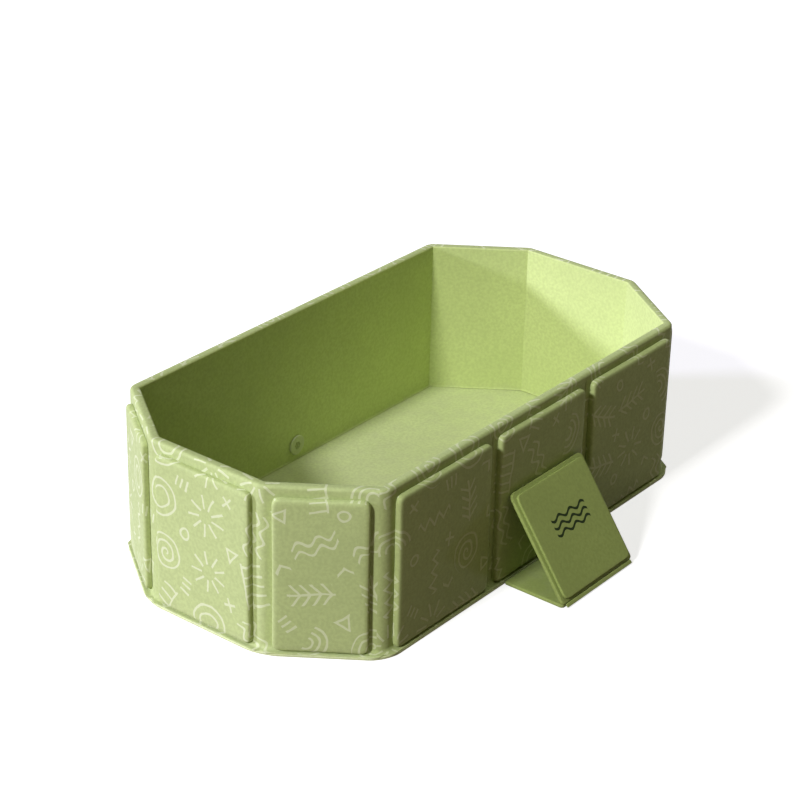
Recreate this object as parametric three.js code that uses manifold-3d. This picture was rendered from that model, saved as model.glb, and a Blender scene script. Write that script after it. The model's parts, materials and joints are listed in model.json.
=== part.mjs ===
// A folding bathtub for babies: twelve padded wall panels stand on one floor sheet in a long octagon.
// Millimetres. +X runs along the tub, -Y is the front with the cover flap, +Z is up.
// The origin is the centre of the tub's underside, on the surface that it stands on.
import * as THREE from 'three';
import { mergeVertices } from 'three/addons/utils/BufferGeometryUtils.js';
import Module from 'manifold-3d';

const wasm = await Module();
wasm.setup();

// ---- Driving dimensions ----

// The octagon, measured on the inner faces of the walls.
const sideLength = 1104;
const endLength = 314;
const cornerRun = 147; // how far a corner wall reaches along the tub
const cornerRise = 205; // how far it reaches across the tub
const wallHeight = 420; // from the ground to the top of the rim

// A wall panel: a skin sleeve, open below, over a stiff foam board, with a soft pad outside.
const skin = 1.5;
const boardThickness = 20.4;
const padThickness = 17.7;
const padMargin = 14; // from each end of the panel to its pad
const padSideMargin = 20; // the same where a corner wall meets a long side
const padFoot = 10; // height of the pad's lower edge
const padHeadroom = 24; // from the pad's upper edge up to the top of the rim
const padCorner = 28; // radius of its outline
const padEdge = 10; // radius of its outer edge
const rimRadius = 6; // outer edge of the rim
const rimInnerRadius = 3.5;
const rimDepth = 16; // solid top of the sleeve, above the board
const footThickness = 2; // the sleeve's foot, which lies out over the floor under the pad
const footFillet = 1.2;

// The folds. A corner's hinge line lies inside the tub, so that folded walls leave room for the floor.
const hingeInset = 6;
const hingeGap = 1.5; // from the hinge line to the end of a panel
const creaseWidth = 6; // between two panels of the same side
const creaseThickness = 3;
const cornerSteps = 5; // facets round a corner column
const profileSteps = 4; // fineness of the arcs in a wall's section

// The floor, one laminated sheet whose edge shows all round as a lip.
const floorThickness = 6;
const floorLip = 3;
const floorFillet = 45; // where the lip's edge starts to turn, from each corner
const floorEdge = 1;

// The cover flap in front: a spine on the ground, a fold strip and a cover that leans on the wall.
const flapWidth = 284;
const spineDepth = 174;
const spineThickness = 9;
const flapHingeGap = 0.6; // between the floor sheet and the spine's hinge line
const flapStart = 0.2; // from a hinge line to the edge of the board that turns on it
const foldHeight = 2.5; // height of the fold line at the spine's outer edge
const stripLength = 10;
const stripThickness = 3;
const coverLength = 294; // from the fold line at the spine to the cover's upper edge
const coverThickness = 9;
const coverCorner = 14;
const coverPadThickness = 8;
const coverPadInset = 9; // from the cover's sides and upper edge to its pad
const coverPadFoot = 8; // from the fold strip to the pad's lower edge
const coverPadCorner = 24;
const coverPadEdge = 4;
const coverRest = 0.6; // between the leaning cover and the wall pad that carries it

// The drain, low in the middle of the back wall.
const drainHeight = 46;
const drainBore = 12;
const drainTube = 15.5;
const drainFlange = 27;
const flangeThickness = 2.7;
const gasketThickness = 1.7;
const gasketWidth = 7;
const drainSlip = 0.4; // radial play round the drain's tube
const nutRadius = 25;
const nutThickness = 5.5;
const nutNotches = 8;
const notchRadius = 2.6;
const turnedEdge = 1.5; // bevel of the nut and the knob
const flangeEdge = 2; // slope of the flange's rim
const flangeRim = 1; // upright part of the flange's rim
const knobRadius = 21;
const knobDepth = 8.5;
const knobWall = 2.4;
const knobBar = 3; // height of the finger bar
const knobBarWidth = 5;
const knobBarInset = 4; // from the knob's edge to the bar's end
const portWidth = 9;
const portHeight = 3.8; // along the drain's axis
const drainWell = 31; // radius of the hole through the pad
const strainerHole = 2.9;
const strainerRing = 7.6;
const strainerHoles = 6;

// Every piece that seats on another keeps this gap to it.
const clearance = 0.3;
const overcut = 1; // how far a cutting shape runs past what it cuts

// ---- Sizes that follow ----

const wallThickness = boardThickness + 2 * (skin + clearance);
const padFace = wallThickness + clearance + padThickness;
const panelFoot = floorThickness + clearance;
const padHead = wallHeight - padHeadroom;
const halfSide = sideLength / 2;
const halfEnd = endLength / 2;
const halfWidth = halfEnd + cornerRise;
const halfLength = halfSide + cornerRun;

// ---- Materials ----

function finish(color, roughness) {
  return new THREE.MeshStandardMaterial({ color, roughness, metalness: 0 });
}

const softSkin = finish(0xb4c67c, 0.5);
const softPad = finish(0xb0c378, 0.5);
const foldSkin = finish(0xa9bd70, 0.55);
const foamBoard = finish(0xe9e7dc, 0.9);
const flapSkin = finish(0x9fb066, 0.5);
const hardPlastic = finish(0xd9ddcb, 0.35);
const sealRubber = finish(0x8a8f80, 0.8);

// ---- Shapes shared by the pieces ----

function solidFrom(geometry) {
  const plain = geometry.clone();
  plain.deleteAttribute('normal');
  plain.deleteAttribute('uv');
  const merged = mergeVertices(plain, 1e-4);
  return new wasm.Manifold(new wasm.Mesh({
    numProp: 3,
    vertProperties: new Float32Array(merged.attributes.position.array),
    triVerts: new Uint32Array(merged.index.array),
  }));
}

function geometryFrom(solid) {
  const mesh = solid.getMesh();
  const geometry = new THREE.BufferGeometry();
  geometry.setAttribute('position', new THREE.BufferAttribute(mesh.vertProperties, 3));
  geometry.setIndex(new THREE.BufferAttribute(mesh.triVerts, 1));
  return geometry;
}

function cut(geometry, ...tools) {
  return geometryFrom(tools.reduce((solid, tool) => solid.subtract(solidFrom(tool)), solidFrom(geometry)));
}

// A box between two corners.
function block(low, high) {
  const size = high.map((value, axis) => value - low[axis]);
  const middle = high.map((value, axis) => (value + low[axis]) / 2);
  return new THREE.BoxGeometry(...size).translate(...middle);
}

// A round bar along Y, between two places on its axis.
function barAlongY(radius, from, to, segments = 24) {
  return new THREE.CylinderGeometry(radius, radius, Math.abs(to - from), segments)
    .translate(0, (from + to) / 2, 0);
}

// A profile of [radius, y] points turned about the Y axis, listed with +Y up its outer side.
function turned(points, segments = 28) {
  const profile = points.map(([radius, y]) => new THREE.Vector2(radius, y));
  if (points[0][0] > 0) profile.push(profile[0].clone());
  return new THREE.LatheGeometry(profile, segments);
}

function roundedRectangle(x0, y0, x1, y1, radius) {
  const outline = new THREE.Shape();
  outline.moveTo(x0 + radius, y0);
  outline.lineTo(x1 - radius, y0);
  outline.absarc(x1 - radius, y0 + radius, radius, -Math.PI / 2, 0);
  outline.lineTo(x1, y1 - radius);
  outline.absarc(x1 - radius, y1 - radius, radius, 0, Math.PI / 2);
  outline.lineTo(x0 + radius, y1);
  outline.absarc(x0 + radius, y1 - radius, radius, Math.PI / 2, Math.PI);
  outline.lineTo(x0, y0 + radius);
  outline.absarc(x0 + radius, y0 + radius, radius, Math.PI, Math.PI * 1.5);
  return outline;
}

// A slab over an outline in XY, from z = 0 up, with a rounded upper edge and a flat back.
function cushion(outline, thickness, edge) {
  const slab = new THREE.ExtrudeGeometry(outline, {
    depth: thickness,
    bevelThickness: edge,
    bevelSize: edge,
    bevelOffset: -edge,
    bevelSegments: 3,
    curveSegments: 3,
  }).translate(0, 0, -edge);
  return geometryFrom(solidFrom(slab).trimByPlane([0, 0, 1], 0));
}

// Turns a shape drawn in XY and extruded along Z into one drawn in YZ and extruded along X.
const alongWall = new THREE.Matrix4().makeBasis(
  new THREE.Vector3(0, 1, 0), new THREE.Vector3(0, 0, 1), new THREE.Vector3(1, 0, 0));
// Turns a slab that rises along +Z into one that rises along -Y, with its outline in XZ.
const outFromWall = new THREE.Matrix4().makeRotationX(Math.PI / 2);

function addPiece(group, name, geometry, material) {
  const mesh = new THREE.Mesh(geometry, material);
  mesh.name = name;
  group.add(mesh);
}

// ---- Walls ----
// A wall's own frame: X runs along it, anticlockwise round the tub, +Y points into the tub, and
// its inner face is y = 0.

const corners = [
  [-halfSide, -halfWidth], [halfSide, -halfWidth], [halfLength, -halfEnd], [halfLength, halfEnd],
  [halfSide, halfWidth], [-halfSide, halfWidth], [-halfLength, halfEnd], [-halfLength, -halfEnd],
].map(([x, y]) => new THREE.Vector2(x, y));

const wallPanels = [
  ['front_left', 'front_middle', 'front_right'],
  ['right_front'], ['right_end'], ['right_back'],
  ['back_right', 'back_middle', 'back_left'],
  ['left_back'], ['left_end'], ['left_front'],
];

const walls = wallPanels.map((panels, index) => {
  const from = corners[index];
  const along = corners[(index + 1) % corners.length].clone().sub(from);
  return { panels, from, length: along.length(), angle: along.angle() };
});

// How far the tub's outline turns at the start of a wall.
function turnBefore(index) {
  const before = walls[(index + walls.length - 1) % walls.length];
  const turn = walls[index].angle - before.angle;
  return turn < 0 ? turn + 2 * Math.PI : turn;
}

// From the corner of the inner faces to the end of the panel.
function cornerTrim(turn) {
  return hingeInset * Math.tan(turn / 2) + hingeGap;
}

function sleeveProfile() {
  const outline = new THREE.Shape();
  const outerCentre = rimRadius - wallThickness;
  outline.moveTo(0, panelFoot);
  outline.lineTo(0, wallHeight - rimInnerRadius);
  outline.absarc(-rimInnerRadius, wallHeight - rimInnerRadius, rimInnerRadius, 0, Math.PI / 2);
  outline.lineTo(outerCentre, wallHeight);
  outline.absarc(outerCentre, wallHeight - rimRadius, rimRadius, Math.PI / 2, Math.PI);
  const footTop = panelFoot + footThickness;
  outline.lineTo(-wallThickness, footTop + footFillet);
  outline.absarc(-wallThickness - footFillet, footTop + footFillet, footFillet, 0, -Math.PI / 2, true);
  outline.lineTo(-padFace, footTop);
  outline.lineTo(-padFace, panelFoot);
  return outline;
}

function sleeve(start, end) {
  const body = new THREE.ExtrudeGeometry(sleeveProfile(), {
    depth: end - start, bevelEnabled: false, curveSegments: profileSteps,
  }).applyMatrix4(alongWall).translate(start, 0, 0);
  const hollow = block(
    [start + skin, -(wallThickness - skin), panelFoot - overcut],
    [end - skin, -skin, wallHeight - rimDepth]);
  return cut(body, hollow);
}

function board(start, end) {
  const inset = skin + clearance;
  return block(
    [start + inset, -(wallThickness - inset), panelFoot + clearance],
    [end - inset, -inset, wallHeight - rimDepth - clearance]);
}

// From the ends of a wall to its pads.
function endMargins(index) {
  return [index - 1, index + 1].map((place) => {
    const next = wallPanels[(place + walls.length) % walls.length];
    return next.length > 1 ? padSideMargin : padMargin;
  });
}

function wallPad(start, end) {
  const outline = roundedRectangle(start, padFoot, end, padHead, padCorner);
  return cushion(outline, padThickness, padEdge)
    .applyMatrix4(outFromWall).translate(0, -(wallThickness + clearance), 0);
}

function addWall(tub, wall, index) {
  const group = new THREE.Group();
  group.position.set(wall.from.x, wall.from.y, 0);
  group.rotation.z = wall.angle;
  tub.add(group);
  const startTrim = cornerTrim(turnBefore(index));
  const endTrim = cornerTrim(turnBefore((index + 1) % walls.length));
  const [startMargin, endMargin] = endMargins(index);
  const last = wall.panels.length - 1;
  const pitch = wall.length / wall.panels.length;
  wall.panels.forEach((name, place) => {
    const from = place * pitch;
    const to = from + pitch;
    const start = from + (place === 0 ? startTrim : creaseWidth / 2);
    const end = to - (place === last ? endTrim : creaseWidth / 2);
    let shell = sleeve(start, end);
    let core = board(start, end);
    let pad = wallPad(
      from + (place === 0 ? startMargin : padMargin),
      to - (place === last ? endMargin : padMargin));
    if (name === 'back_middle') {
      const centre = (from + to) / 2;
      const through = barAlongY(drainTube + drainSlip, -wallThickness - overcut, overcut)
        .translate(centre, 0, drainHeight);
      const well = barAlongY(drainWell, -padFace - overcut, 0, 32).translate(centre, 0, drainHeight);
      shell = cut(shell, through);
      core = cut(core, through);
      pad = cut(pad, well);
    }
    addPiece(group, `${name}_sleeve`, shell, softSkin);
    addPiece(group, `${name}_board`, core, foamBoard);
    addPiece(group, `${name}_pad`, pad, softPad);
    if (place > 0) addPiece(group, `${name}_crease`, crease(from), foldSkin);
  });
  return group;
}

// The web that joins two panels of one side, level with their inner faces.
function crease(place) {
  const half = creaseWidth / 2 - clearance;
  return block(
    [place - half, -creaseThickness, panelFoot],
    [place + half, 0, wallHeight - rimRadius]);
}

// ---- Corner columns ----
// Soft folds that carry the wall's section round each corner: crisp inside, a round column outside.
// A column's own frame has its origin on the inner corner, with +X pointing out of the tub.

// Sweeps a wall's section, drawn in YZ with +Y into the tub, round the inner corner of a turn.
function sweptSection(outline, turn, reach, steps) {
  const half = turn / 2;
  const bend = Array.from({ length: steps + 1 }, (_, step) => [0, -half + (turn * step) / steps]);
  const stations = [[-reach, -half], ...bend, [reach, half]];
  const section = outline.extractPoints(profileSteps).shape;
  const points = stations.flatMap(([along, angle]) => section.map(({ x, y }) => new THREE.Vector3(
    -x * Math.cos(angle) - along * Math.sin(angle),
    -x * Math.sin(angle) + along * Math.cos(angle),
    y)));
  const faces = [];
  const count = section.length;
  stations.slice(1).forEach((_, step) => section.forEach((__, place) => {
    const next = (place + 1) % count;
    const [a, b] = [step * count + place, step * count + next];
    faces.push([a, b, a + count], [b, b + count, a + count]);
  }));
  const far = (stations.length - 1) * count;
  THREE.ShapeUtils.triangulateShape(section, []).forEach(([a, b, c]) => {
    faces.push([a, c, b], [far + a, far + b, far + c]);
  });
  const differ = (i, j) => points[i].distanceTo(points[j]) > 1e-3;
  const sound = faces.filter(([a, b, c]) => differ(a, b) && differ(b, c) && differ(c, a));
  const places = sound.flat().flatMap((index) => points[index].toArray());
  const geometry = new THREE.BufferGeometry();
  geometry.setAttribute('position', new THREE.Float32BufferAttribute(places, 3));
  return geometry;
}

function column(turn) {
  return sweptSection(sleeveProfile(), turn, cornerTrim(turn) - clearance, cornerSteps);
}

const columnNames = [
  'front_left_column', 'front_right_column', 'right_front_column', 'right_back_column',
  'back_right_column', 'back_left_column', 'left_back_column', 'left_front_column',
];

function addColumn(tub, name, index) {
  const turn = turnBefore(index);
  const group = new THREE.Group();
  group.position.set(walls[index].from.x, walls[index].from.y, 0);
  group.rotation.z = walls[index].angle - Math.PI / 2 - turn / 2;
  addPiece(group, name, column(turn), foldSkin);
  tub.add(group);
}

// ---- Floor ----

// The octagon of the inner faces, moved outwards, with its corners eased.
function octagon(outwards, fillet) {
  const points = corners.map((corner, index) => {
    const half = turnBefore(index) / 2;
    const angle = walls[index].angle - Math.PI / 2 - half;
    const reach = outwards / Math.cos(half);
    return new THREE.Vector2(corner.x + reach * Math.cos(angle), corner.y + reach * Math.sin(angle));
  });
  const outline = new THREE.Shape();
  points.forEach((point, index) => {
    const before = points[(index + points.length - 1) % points.length];
    const after = points[(index + 1) % points.length];
    const enter = before.clone().sub(point).setLength(fillet).add(point);
    const leave = after.clone().sub(point).setLength(fillet).add(point);
    if (index === 0) outline.moveTo(enter.x, enter.y);
    else outline.lineTo(enter.x, enter.y);
    outline.quadraticCurveTo(point.x, point.y, leave.x, leave.y);
  });
  return outline;
}

function floorSheet() {
  return new THREE.ExtrudeGeometry(octagon(padFace + floorLip, floorFillet), {
    depth: floorThickness - 2 * floorEdge,
    bevelThickness: floorEdge,
    bevelSize: floorEdge,
    bevelOffset: -floorEdge,
    bevelSegments: 2,
    curveSegments: 4,
  }).translate(0, 0, floorEdge);
}

// ---- Cover flap ----

const flapHinge = -(halfWidth + padFace + floorLip + flapHingeGap);
const foldLine = flapHinge - spineDepth;

// The cover leans until its back meets the wall pad, at this angle above the spine.
function coverLean() {
  const room = -(halfWidth + padFace + coverRest) - foldLine;
  const diagonal = Math.hypot(coverLength, coverThickness);
  return Math.acos(room / diagonal) + Math.atan2(coverThickness, coverLength);
}

function spine(lean) {
  // its outer edge is cut to the slope of the fold strip that stands against it
  const slope = 1 / Math.tan(lean);
  const offset = (stripThickness / 2 + clearance) / Math.sin(lean);
  const edgeAt = (height) => foldLine + offset + (height - foldHeight) * slope;
  const outline = new THREE.Shape();
  outline.moveTo(flapHinge - flapStart, 0);
  outline.lineTo(flapHinge - flapStart, spineThickness);
  outline.lineTo(edgeAt(spineThickness), spineThickness);
  outline.lineTo(edgeAt(0), 0);
  return new THREE.ExtrudeGeometry(outline, { depth: flapWidth, bevelEnabled: false })
    .applyMatrix4(alongWall).translate(-flapWidth / 2, 0, 0);
}

// The cover's own frame: X across, Y up the cover from the fold line, +Z away from the wall.
function foldStrip() {
  return block(
    [-flapWidth / 2, flapStart, -stripThickness / 2],
    [flapWidth / 2, stripLength - flapStart, stripThickness / 2]);
}

function coverBoard(lean) {
  const half = flapWidth / 2;
  const outline = new THREE.Shape();
  outline.moveTo(-half, stripLength + flapStart);
  outline.lineTo(half, stripLength + flapStart);
  outline.lineTo(half, coverLength - coverCorner);
  outline.absarc(half - coverCorner, coverLength - coverCorner, coverCorner, 0, Math.PI / 2);
  outline.lineTo(-half + coverCorner, coverLength);
  outline.absarc(-half + coverCorner, coverLength - coverCorner, coverCorner, Math.PI / 2, Math.PI);
  const slab = new THREE.ExtrudeGeometry(outline, {
    depth: coverThickness, bevelEnabled: false, curveSegments: 6,
  }).translate(0, 0, -coverThickness);
  // the lower back edge is cut level, clear above the spine
  const level = spineThickness + clearance - foldHeight;
  const normal = [0, Math.sin(lean), Math.cos(lean)];
  return geometryFrom(solidFrom(slab).trimByPlane(normal, level));
}

function coverPad() {
  const half = flapWidth / 2 - coverPadInset;
  const foot = stripLength + coverPadFoot;
  const outline = roundedRectangle(-half, foot, half, coverLength - coverPadInset, coverPadCorner);
  return cushion(outline, coverPadThickness, coverPadEdge).translate(0, 0, clearance);
}

function addFlap(tub) {
  const lean = coverLean();
  addPiece(tub, 'flap_spine', spine(lean), flapSkin);
  const group = new THREE.Group();
  group.position.set(0, foldLine, foldHeight);
  group.rotation.x = lean;
  addPiece(group, 'flap_fold_strip', foldStrip(), foldSkin);
  addPiece(group, 'flap_cover_board', coverBoard(lean), flapSkin);
  addPiece(group, 'flap_cover_pad', coverPad(), flapSkin);
  tub.add(group);
}

// ---- Drain ----
// Its own frame: the drain's axis is Y, +Y points into the tub, and the wall's inner face is y = 0.

const nutBack = -(wallThickness + clearance);
const nutFront = nutBack - nutThickness;
const knobBack = nutFront - clearance;
const knobEnd = knobBack - knobDepth;
const tubeEnd = knobEnd + knobWall + clearance;
const portMiddle = (knobBack + tubeEnd) / 2;

// A pair of side ports through a tube, along X or along Z.
function sidePorts(reach, alongX) {
  const half = portWidth / 2;
  const low = portMiddle - portHeight / 2;
  const high = portMiddle + portHeight / 2;
  return alongX
    ? block([-reach, low, -half], [reach, high, half])
    : block([-half, low, -reach], [half, high, reach]);
}

function drainBody() {
  const flangeBack = clearance + gasketThickness + clearance;
  const flangeFront = flangeBack + flangeThickness;
  const shell = turned([
    [0, tubeEnd], [drainTube, tubeEnd], [drainTube, flangeBack], [drainFlange, flangeBack],
    [drainFlange, flangeBack + flangeRim], [drainFlange - flangeEdge, flangeFront], [0, flangeFront],
  ]);
  const floor = tubeEnd + knobWall;
  const bore = barAlongY(drainBore, flangeFront - flangeThickness, floor);
  const holes = Array.from({ length: strainerHoles }, (_, index) => {
    const angle = (index * 2 * Math.PI) / strainerHoles;
    return barAlongY(strainerHole, flangeBack - overcut, flangeFront + overcut, 12)
      .translate(strainerRing * Math.cos(angle), 0, strainerRing * Math.sin(angle));
  });
  const middleHole = barAlongY(strainerHole, flangeBack - overcut, flangeFront + overcut, 12);
  return cut(shell, bore, middleHole, ...holes, sidePorts(drainTube + overcut, true));
}

function drainGasket() {
  const inner = drainTube + drainSlip;
  const outer = inner + gasketWidth;
  return turned([
    [inner, clearance], [outer, clearance],
    [outer, clearance + gasketThickness], [inner, clearance + gasketThickness],
  ]);
}

function drainNut() {
  const ring = turned([
    [drainTube + drainSlip, nutBack], [drainTube + drainSlip, nutFront],
    [nutRadius - turnedEdge, nutFront], [nutRadius, nutFront + turnedEdge], [nutRadius, nutBack],
  ]);
  const notches = Array.from({ length: nutNotches }, (_, index) => {
    const angle = (index * 2 * Math.PI) / nutNotches;
    return barAlongY(notchRadius, nutFront - overcut, nutBack + overcut, 8)
      .translate(nutRadius * Math.cos(angle), 0, nutRadius * Math.sin(angle));
  });
  return cut(ring, ...notches);
}

function drainKnob() {
  const bore = drainTube + drainSlip;
  const cup = turned([
    [bore, knobEnd + knobWall], [0, knobEnd + knobWall], [0, knobEnd], [knobRadius - turnedEdge, knobEnd],
    [knobRadius, knobEnd + turnedEdge], [knobRadius, knobBack], [bore, knobBack],
  ]);
  const barEnd = knobRadius - knobBarInset;
  const bar = block(
    [-barEnd, knobEnd - knobBar, -knobBarWidth / 2],
    [barEnd, knobEnd + knobWall / 2, knobBarWidth / 2]);
  const ported = cut(cup, sidePorts(knobRadius + overcut, false));
  return geometryFrom(solidFrom(ported).add(solidFrom(bar)));
}

function addDrain(backWall) {
  const group = new THREE.Group();
  group.position.set(sideLength / 2, 0, drainHeight); // the middle of the back wall
  addPiece(group, 'drain_body', drainBody(), hardPlastic);
  addPiece(group, 'drain_gasket', drainGasket(), sealRubber);
  addPiece(group, 'drain_nut', drainNut(), hardPlastic);
  addPiece(group, 'drain_knob', drainKnob(), hardPlastic);
  backWall.add(group);
}

// ---- The tub ----

const tub = new THREE.Group();
addPiece(tub, 'floor_sheet', floorSheet(), softSkin);
const wallGroups = walls.map((wall, index) => addWall(tub, wall, index));
columnNames.forEach((name, index) => addColumn(tub, name, index));
addFlap(tub);
addDrain(wallGroups[wallPanels.findIndex((panels) => panels.includes('back_middle'))]);

export default tub;
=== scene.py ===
"""A folding bathtub for babies: soft vinyl skins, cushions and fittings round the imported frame.

All lengths are in metres, except in the printed motifs, which are drawn in millimetres.
"""

import json
import math
from collections import namedtuple

import bmesh
import bpy
from bpy.props import FloatProperty, FloatVectorProperty, IntProperty, PointerProperty
from mathutils import Matrix, Vector


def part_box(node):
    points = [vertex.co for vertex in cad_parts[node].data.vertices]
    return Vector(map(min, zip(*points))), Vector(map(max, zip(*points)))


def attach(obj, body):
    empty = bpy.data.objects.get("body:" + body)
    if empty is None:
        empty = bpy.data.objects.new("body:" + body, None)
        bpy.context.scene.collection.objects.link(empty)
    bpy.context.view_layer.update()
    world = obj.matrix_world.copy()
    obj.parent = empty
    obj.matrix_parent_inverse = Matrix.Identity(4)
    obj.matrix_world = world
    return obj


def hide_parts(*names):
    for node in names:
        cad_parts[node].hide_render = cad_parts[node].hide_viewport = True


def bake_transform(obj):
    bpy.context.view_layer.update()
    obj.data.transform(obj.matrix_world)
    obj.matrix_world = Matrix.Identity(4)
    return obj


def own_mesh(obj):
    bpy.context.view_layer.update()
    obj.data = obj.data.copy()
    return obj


bl_info = {
    "name": "Folding Baby Bathtub",
    "version": (1, 0, 0),
    "blender": (4, 5, 0),
    "location": "3D View > Sidebar > Bathtub",
    "description": "Skins, cushions, floor, cover flap and drain of a folding bathtub",
    "category": "Add Mesh",
}

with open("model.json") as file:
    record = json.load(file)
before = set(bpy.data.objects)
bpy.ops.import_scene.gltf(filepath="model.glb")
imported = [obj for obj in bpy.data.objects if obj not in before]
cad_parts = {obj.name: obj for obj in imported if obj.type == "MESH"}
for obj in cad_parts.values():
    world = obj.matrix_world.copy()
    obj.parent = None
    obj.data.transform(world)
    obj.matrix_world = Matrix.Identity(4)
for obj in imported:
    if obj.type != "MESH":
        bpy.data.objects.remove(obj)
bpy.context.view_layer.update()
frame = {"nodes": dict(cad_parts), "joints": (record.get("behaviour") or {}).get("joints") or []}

# Each wall's body and its panels, anticlockwise round the tub from the front.
WALLS = (
    ("front_wall", ("front_left", "front_middle", "front_right")),
    ("right_front_wall", ("right_front",)),
    ("right_end_wall", ("right_end",)),
    ("right_back_wall", ("right_back",)),
    ("back_wall", ("back_right", "back_middle", "back_left")),
    ("left_back_wall", ("left_back",)),
    ("left_end_wall", ("left_end",)),
    ("left_front_wall", ("left_front",)),
)
# The corner at the start of each wall, and the one that opens when the walls fold.
CORNERS = (
    "front_left", "front_right", "right_front", "right_back",
    "back_right", "back_left", "left_back", "left_front",
)
OPEN_CORNER = "back_left"
DRAINED_PANEL = "back_middle"

FRONT_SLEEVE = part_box("front_middle_sleeve")
FRONT_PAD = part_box("front_middle_pad")
FRONT_LEFT_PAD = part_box("front_left_pad")
END_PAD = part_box("right_end_pad")
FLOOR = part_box("floor_sheet")
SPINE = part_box("flap_spine")
JOINTS = {joint["name"]: joint for joint in frame["joints"]}

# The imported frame's own measures that its boxes don't give.
PAD_MARGIN = 0.014  # from a panel's end to its pad
CLEARANCE = 0.0003  # between two pieces that lie against each other
HINGE_CLEARANCE = 0.0002  # from a hinge line to the edge of what turns on it
SPINE_SLOPE = 0.008  # depth of the slope at the front edge of the spine

SHARP_ANGLE = math.radians(40)  # faces that meet at more than this show an edge
INNER_BAND = 0.002  # what lies less deep than this belongs to a wall's inner face
ROUND_FROM = 0.004  # what lies deeper than this runs round a corner in an arc
SKINS = ("printed_vinyl", "liner_vinyl")


# ---- Sizes and colours that a user may change ----


def length(name, description, default):
    return FloatProperty(
        name=name, description=description, default=default, unit="LENGTH", precision=4)


def angle(name, description, degrees):
    return FloatProperty(
        name=name, description=description, default=math.radians(degrees), unit="ROTATION")


def fraction(name, description, default):
    return FloatProperty(
        name=name, description=description, default=default, min=0, max=1, subtype="FACTOR")


def colour(name, description, default):
    return FloatVectorProperty(
        name=name, description=description, default=default, subtype="COLOR", min=0, max=1)


def amount(name, description, default):
    return FloatProperty(name=name, description=description, default=default)


def count(name, description, default):
    return IntProperty(name=name, description=description, default=default)


class WallSizes(bpy.types.PropertyGroup):
    half_side: length(
        "Half side", "Half of a long wall, along its inner face", -FRONT_LEFT_PAD[0].x + PAD_MARGIN)
    half_end: length(
        "Half end", "Half of an end wall, along its inner face", END_PAD[1].y + PAD_MARGIN)
    half_width: length(
        "Half width", "From the middle to a long wall's inner face", -FRONT_SLEEVE[1].y)
    half_length: length(
        "Half length", "From the middle to an end wall's inner face",
        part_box("right_end_sleeve")[0].x)
    thickness: length(
        "Thickness", "Wall without its cushion", FRONT_SLEEVE[1].y - FRONT_PAD[1].y - CLEARANCE)
    reach: length(
        "Reach", "From the inner face to the cushion's face", FRONT_SLEEVE[1].y - FRONT_SLEEVE[0].y)
    top: length("Top", "Height of the rim", FRONT_SLEEVE[1].z)
    foot: length("Foot", "Height of the walls' lower edge", FRONT_SLEEVE[0].z)
    rim_radius: length("Rim radius", "Outer edge of the rim", 0.0078)
    rim_inner_radius: length("Rim inner radius", "Inner edge of the rim", 0.0045)
    rim_crown: length("Rim crown", "How far the rim's middle stands proud of its edges", 0.0006)
    rim_depth: length("Rim depth", "From the top to where the panels' folds start", 0.016)
    fold_run_out: length("Fold run-out", "Height over which a fold deepens under the rim", 0.006)
    foot_reach: length("Foot reach", "How far the foot lies out past the cushions", 0.0006)
    foot_tuck: fraction("Foot tuck", "Share of the foot's reach that corners lose", 0.5)
    foot_thickness: length("Foot thickness", "Skin that lies out over the floor", 0.002)
    foot_flare: length("Foot flare", "Radius where the wall turns out into its foot", 0.010)
    cove: length("Cove", "Weld between the inner face and the floor", 0.0044)
    hinge_inset: length("Hinge inset", "From a corner in to its hinge line", 0.006)
    hinge_gap: length("Hinge gap", "From a hinge line to the end of a wall", 0.0015)
    crease_width: length("Crease width", "Fold between two panels", 0.007)
    crease_depth: length("Crease depth", "Fold between two panels, outside", 0.0035)
    arc_steps: count("Arc steps", "Steps in each arc of the section", 6)
    bend_steps: count("Bend steps", "Steps round a corner", 14)


class CushionSizes(bpy.types.PropertyGroup):
    margin: length("Margin", "From a panel's end to its cushion", 0.016)
    side_margin: length("Side margin", "The same where a corner wall meets a long side", 0.021)
    corner: length("Corner", "Radius of the outline", 0.030)
    edge: length("Edge", "Width of the rounded outer edge", 0.0145)
    crown: length("Crown", "How far the middle stands proud of the edge", 0.0025)
    pull: length("Pull", "How far the sides draw in between the corners", 0.0012)
    well: length("Well", "Radius of the opening in a cushion round the drain's knob", 0.031)
    levels: count("Levels", "Subdivision of the cushions", 3)


class FlapSizes(bpy.types.PropertyGroup):
    board: length("Board", "Thickness of the cover's board", 0.009)
    length_up: length("Length", "From the fold to the cover's upper edge", 0.294)
    strip: length("Strip", "Width of the fold strip", 0.010)
    strip_thickness: length("Strip thickness", "Thickness of the fold strip", 0.003)
    corner: length("Corner", "Radius of the cover's upper corners", 0.016)
    foot_corner: length("Foot corner", "Radius of the boards' corners at the fold strip", 0.009)
    edge: length("Edge", "Radius of the boards' edges", 0.0026)
    clearance: length("Clearance", "Between the cover's foot and the spine", CLEARANCE)
    cushion: length("Cushion", "Thickness of the cover's cushion", 0.008)
    cushion_inset: length("Cushion inset", "From the cover's sides to its cushion", 0.009)
    cushion_foot: length("Cushion foot", "From the fold strip to the cushion", 0.008)
    cushion_corner: length("Cushion corner", "Radius of the cushion's outline", 0.026)
    cushion_edge: length("Cushion edge", "Width of the cushion's rounded outer edge", 0.0042)


class FloorSizes(bpy.types.PropertyGroup):
    lip: length("Lip", "How far the floor shows past the cushions' faces", 0.0012)
    fillet: length("Fillet", "From a corner to where the floor's edge starts to turn", 0.045)
    edge: length("Edge", "Radius of the floor's edge", 0.0012)


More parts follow.
